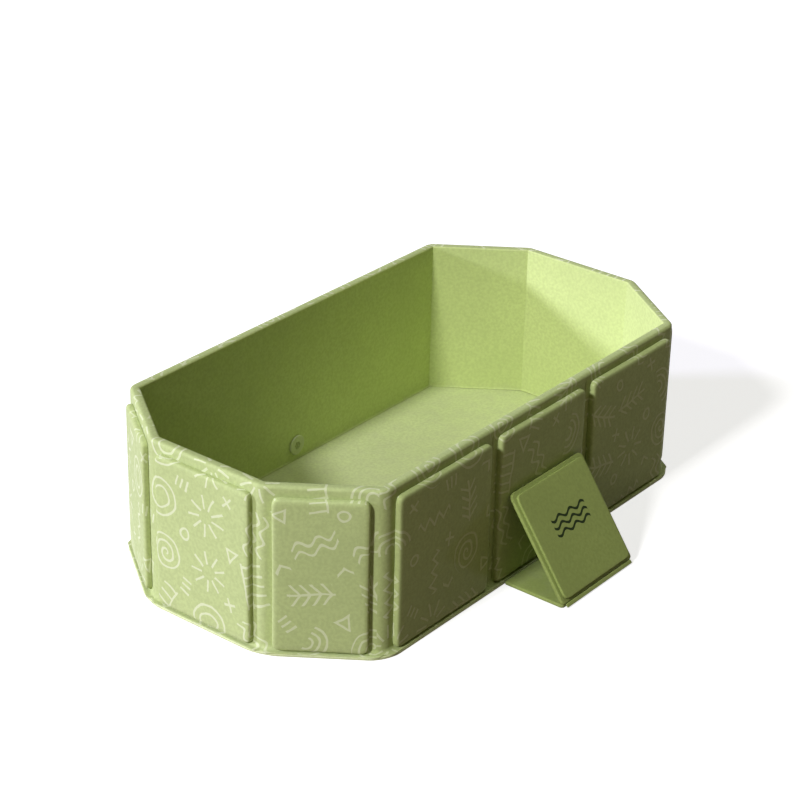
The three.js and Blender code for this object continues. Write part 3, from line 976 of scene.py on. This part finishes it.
class TUB_OT_cushions(bpy.types.Operator):
    """Makes the cushion on the outside of each panel"""
    bl_idname = "tub.cushions"
    bl_label = "Cushions"

    def execute(self, context):
        sizes = context.scene.tub_cushions
        foot, head = FRONT_PAD[0].z, FRONT_PAD[1].z
        thickness = FRONT_PAD[1].y - FRONT_PAD[0].y
        back = -context.scene.tub_walls.thickness
        walls = tub_walls()
        for index, wall in enumerate(walls):
            pitch = wall.length / len(wall.panels)
            neighbours = walls[index - 1], walls[(index + 1) % len(walls)]
            margins = [
                sizes.side_margin if len(other.panels) > 1 else sizes.margin
                for other in neighbours]
            width = pitch - sum(margins)
            shift = (margins[0] - margins[1]) / 2
            for place, panel in enumerate(wall.panels):
                bm = cushion_mesh(
                    width, head - foot, thickness, sizes.corner, sizes.edge, sizes.crown,
                    sizes.pull)
                piece = make_piece(f"{panel}_cushion", bm)
                subdivide(piece, sizes.levels)
                middle = (place + 0.5) * pitch + shift
                piece.data.transform(Matrix.Translation((middle, back, foot)))
                if panel == DRAINED_PANEL:
                    drain = wall.matrix.inverted() @ Vector(JOINTS["drain_turn"]["pos_m"])
                    cut_well(piece, drain, sizes.well)
                print_map(piece, wall.print_start, back - thickness)
                piece.data.transform(wall.matrix)
                finish_piece(piece, SKINS[:1], wall.body, [f"{panel}_pad"])
        return {"FINISHED"}


class TUB_OT_floor(bpy.types.Operator):
    """Makes the laminated floor, whose edge shows all round as a lip"""
    bl_idname = "tub.floor"
    bl_label = "Floor"

    def execute(self, context):
        sizes = context.scene.tub_floor
        outwards = context.scene.tub_walls.reach + sizes.lip
        bm = bmesh.new()
        verts = []
        for wall in tub_walls():
            out = Vector((-outwards * math.tan(wall.turn / 2), -outwards, 0))
            verts.append(bm.verts.new(wall.matrix @ out))
        bm.faces.new(verts)
        bmesh.ops.bevel(
            bm, geom=verts, offset=sizes.fillet, affect="VERTICES", segments=10, profile=0.5,
            material=-1)
        bmesh.ops.recalc_face_normals(bm, faces=bm.faces)
        draw_out(bm, bm.faces[:], (0, 0, FLOOR[1].z))
        bmesh.ops.recalc_face_normals(bm, faces=bm.faces)
        level = [edge for edge in bm.edges if abs(edge.verts[0].co.z - edge.verts[1].co.z) < 1e-6]
        round_edges(bm, level, sizes.edge, segments=3)
        piece = make_piece("floor_mat", bm)
        finish_piece(piece, ["floor_vinyl"], "front_wall", ["floor_sheet"])
        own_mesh(piece)
        return {"FINISHED"}


def flap_frame():
    """The cover's own frame: X across, Y up the cover from the fold, +Z away from the wall."""
    sizes = bpy.context.scene.tub_flap
    fold = Vector(JOINTS["fold_follow"]["pos_m"])
    hinge = Vector(JOINTS["cover_open"]["pos_m"]) - fold
    lean = math.atan2(hinge.z, hinge.y) - math.atan2(sizes.strip_thickness / 2, sizes.strip)
    return Matrix.Translation(fold) @ Matrix.Rotation(lean, 4, "X")


def board_outline(half, start, end, start_corner, end_corner, steps=8):
    """A board's outline in XY: twice the half wide, with corners of their own at start and end."""
    return rounded([
        (0, start, 0), (half, start, start_corner), (half, end, end_corner),
        (-half, end, end_corner), (-half, start, start_corner), (0, start, 0),
    ], steps)[:-1]


def board_piece(name, outline, low, high, edge):
    """A board over an outline in XY, from z = low to z = high, with round edges."""
    bm = bmesh.new()
    face = bm.faces.new([bm.verts.new((x, y, low)) for x, y in outline])
    draw_out(bm, [face], (0, 0, high - low))
    bmesh.ops.recalc_face_normals(bm, faces=bm.faces)
    rims = [item for item in bm.edges if item.calc_face_angle(0) > SHARP_ANGLE]
    round_edges(bm, rims, edge, segments=4)
    return make_piece(name, bm)


def cut_level(piece, height):
    """Cuts off what lies below a height, and closes the cut."""
    bm = bmesh.new()
    bm.from_mesh(piece.data)
    cut = cut_through(bm, (0, 0, height), (0, 0, 1), clear_inner=True)
    edges = [item for item in cut if isinstance(item, bmesh.types.BMEdge)]
    bmesh.ops.edgeloop_fill(bm, edges=edges)
    bmesh.ops.recalc_face_normals(bm, faces=bm.faces)
    bm.to_mesh(piece.data)
    bm.free()
    piece.data.set_sharp_from_angle(angle=SHARP_ANGLE)


class TUB_OT_flap(bpy.types.Operator):
    """Makes the cover flap: a spine on the ground, a fold strip and a padded cover on the wall"""
    bl_idname = "tub.flap"
    bl_label = "Cover Flap"

    def execute(self, context):
        sizes = context.scene.tub_flap
        self.spine(sizes)
        self.strip(sizes)
        self.cover(sizes)
        self.cover_cushion(sizes, context.scene.tub_cushions.levels)
        return {"FINISHED"}

    def spine(self, sizes, rear_corner=0.003):
        low, high = SPINE
        outline = board_outline(
            high.x, low.y + SPINE_SLOPE, high.y, sizes.foot_corner, rear_corner)
        piece = board_piece("flap_spine_skin", outline, low.z, high.z, sizes.edge)
        finish_piece(piece, ["flap_vinyl"], "flap_spine", ["flap_spine"])

    def strip(self, sizes, corner=0.002, roundness=0.8):
        half = sizes.strip_thickness / 2
        side = SPINE[1].x - sizes.foot_corner
        outline = board_outline(
            side, HINGE_CLEARANCE, sizes.strip - HINGE_CLEARANCE, corner, corner)
        piece = board_piece("flap_fold_skin", outline, -half, half, half * roundness)
        piece.data.transform(flap_frame())
        finish_piece(piece, ["flap_vinyl"], "flap_fold", ["flap_fold_strip"])

    def cover(self, sizes):
        outline = board_outline(
            SPINE[1].x, sizes.strip + CLEARANCE, sizes.length_up, sizes.foot_corner, sizes.corner)
        piece = board_piece("flap_cover_skin", outline, -sizes.board, 0, sizes.edge)
        piece.data.transform(flap_frame())
        cut_level(piece, SPINE[1].z + sizes.clearance)
        finish_piece(piece, ["flap_vinyl"], "flap_cover", ["flap_cover_board"])

    def cover_cushion(self, sizes, levels, mark_height=0.58):
        width = 2 * (SPINE[1].x - sizes.cushion_inset)
        foot = sizes.strip + sizes.cushion_foot
        height = sizes.length_up - sizes.cushion_inset - foot
        bm = cushion_mesh(
            width, height, sizes.cushion, sizes.cushion_corner, sizes.cushion_edge,
            crown=0.0012, pull=0.0006)
        piece = make_piece("flap_cover_cushion", bm)
        subdivide(piece, levels)
        print_map(piece, 0, -sizes.cushion)
        for loop in piece.data.uv_layers["print"].data:
            loop.uv.y -= height * mark_height
        stand = Matrix.Rotation(math.radians(-90), 4, "X")
        piece.data.transform(flap_frame() @ Matrix.Translation((0, foot, 0)) @ stand)
        finish_piece(piece, ["marked_vinyl"], "flap_cover", ["flap_cover_pad"])


KEY_TINT = (0.985, 0.98, 1.0)
KICKER_TINT = (0.70, 0.67, 1.0)
OVERHEAD_TINT = (1.0, 1.0, 0.9)
SKY_TINT = (1, 0.86, 0.36, 1)
WHITE = (1, 1, 1, 1)


def direction(azimuth, elevation):
    """The way to a light or the camera: azimuth 0 is the front, and 90 degrees the right."""
    level = math.cos(elevation)
    return Vector((math.sin(azimuth) * level, -math.cos(azimuth) * level, math.sin(elevation)))


class TUB_OT_stage(bpy.types.Operator):
    """Makes the pale floor, the lights and the camera"""
    bl_idname = "tub.stage"
    bl_label = "Stage"

    def execute(self, context):
        settings = context.scene.tub_stage
        self.ground()
        self.sky(settings)
        self.sun("key", settings.sun_azimuth, settings.sun_elevation, settings.sun_strength,
                 settings.sun_softness, KEY_TINT)
        self.sun("kicker", settings.kicker_azimuth, settings.kicker_elevation,
                 settings.kicker_strength, settings.sun_softness, KICKER_TINT)
        self.sun("overhead", 0, math.radians(84), settings.top_strength, math.radians(24),
                 OVERHEAD_TINT)
        self.camera(context, settings)
        context.scene.view_settings.view_transform = "Standard"
        return {"FINISHED"}

    @staticmethod
    def ground():
        """A round floor: white with the tub's shadow to the eye, and plain to the light."""
        bm = bmesh.new()
        bmesh.ops.create_circle(bm, cap_ends=True, segments=64, radius=14)
        floor = make_piece("ground", bm)
        material = bpy.data.materials.new("pale_ground")
        material.use_nodes = True
        n = Nodes(material.node_tree)
        material.node_tree.nodes.clear()
        shaded = n.add("ShaderNodeBsdfDiffuse", {"Color": (0.5, 0.5, 0.5, 1)})
        glow = n.add("ShaderNodeEmission", {"Color": WHITE, "Strength": 0.72})
        seen = n.add("ShaderNodeAddShader", {0: shaded.outputs[0], 1: glow.outputs[0]})
        unseen = n.add("ShaderNodeBsdfDiffuse", {"Color": (0.25, 0.20, 0.13, 1)})
        mixed = n.add(
            "ShaderNodeMixShader", {0: n.eye_rays(), 1: unseen.outputs[0], 2: seen.outputs[0]})
        n.add("ShaderNodeOutputMaterial", {"Surface": mixed.outputs[0]})
        floor.data.materials.append(material)

    @staticmethod
    def sky(settings):
        world = bpy.data.worlds.new("studio")
        world.use_nodes = True
        bpy.context.scene.world = world
        n = Nodes(world.node_tree)
        world.node_tree.nodes.clear()
        seen = n.eye_rays()
        strength = n.ramp(seen, 0, 1, settings.fill, 1, smooth=False)
        tint = n.mix(seen, SKY_TINT, WHITE)
        background = n.add("ShaderNodeBackground", {"Color": tint, "Strength": strength})
        n.add("ShaderNodeOutputWorld", {"Surface": background.outputs[0]})

    @staticmethod
    def sun(name, azimuth, elevation, strength, softness, tint):
        lamp = bpy.data.lights.new(name, "SUN")
        lamp.energy = strength
        lamp.angle = softness
        lamp.color = tint
        sun = bpy.data.objects.new(name, lamp)
        towards = direction(azimuth, elevation)
        sun.rotation_euler = towards.to_track_quat("Z", "Y").to_euler()
        sun.location = towards * 4
        bpy.context.scene.collection.objects.link(sun)

    @staticmethod
    def camera(context, settings):
        lens = bpy.data.cameras.new("camera")
        lens.lens = settings.lens
        lens.sensor_width = 36
        lens.clip_end = 100
        camera = bpy.data.objects.new("camera", lens)
        back = direction(settings.azimuth, settings.elevation)
        place = Matrix.Translation(Vector(settings.aim) + back * settings.distance)
        aimed = back.to_track_quat("Z", "Y").to_matrix().to_4x4()
        camera.matrix_world = place @ aimed @ Matrix.Rotation(settings.roll, 4, "Z")
        context.scene.collection.objects.link(camera)
        context.scene.camera = camera


class TUB_PT_panel(bpy.types.Panel):
    """The bathtub's pieces"""
    bl_label = "Folding Bathtub"
    bl_idname = "TUB_PT_panel"
    bl_space_type = "VIEW_3D"
    bl_region_type = "UI"
    bl_category = "Bathtub"

    def draw(self, context):
        for operator in OPERATORS:
            self.layout.operator(operator.bl_idname)


OPERATORS = (
    TUB_OT_finishes, TUB_OT_wall_skins, TUB_OT_corner_skins, TUB_OT_cushions,
    TUB_OT_floor, TUB_OT_flap, TUB_OT_stage,
)
GROUPS = {
    "tub_walls": WallSizes, "tub_cushions": CushionSizes, "tub_flap": FlapSizes,
    "tub_floor": FloorSizes, "tub_finishes": Finishes, "tub_stage": StageSettings,
}


def register():
    for name, group in GROUPS.items():
        bpy.utils.register_class(group)
        setattr(bpy.types.Scene, name, PointerProperty(type=group))
    for operator in OPERATORS:
        bpy.utils.register_class(operator)
    bpy.utils.register_class(TUB_PT_panel)


def unregister():
    bpy.utils.unregister_class(TUB_PT_panel)
    for operator in reversed(OPERATORS):
        bpy.utils.unregister_class(operator)
    for name, group in reversed(GROUPS.items()):
        delattr(bpy.types.Scene, name)
        bpy.utils.unregister_class(group)


def main():
    register()
    bpy.ops.tub.finishes()
    bpy.ops.tub.wall_skins()
    bpy.ops.tub.corner_skins()
    bpy.ops.tub.cushions()
    bpy.ops.tub.floor()
    bpy.ops.tub.flap()
    bpy.ops.tub.stage()


if __name__ == "__main__":
    main()
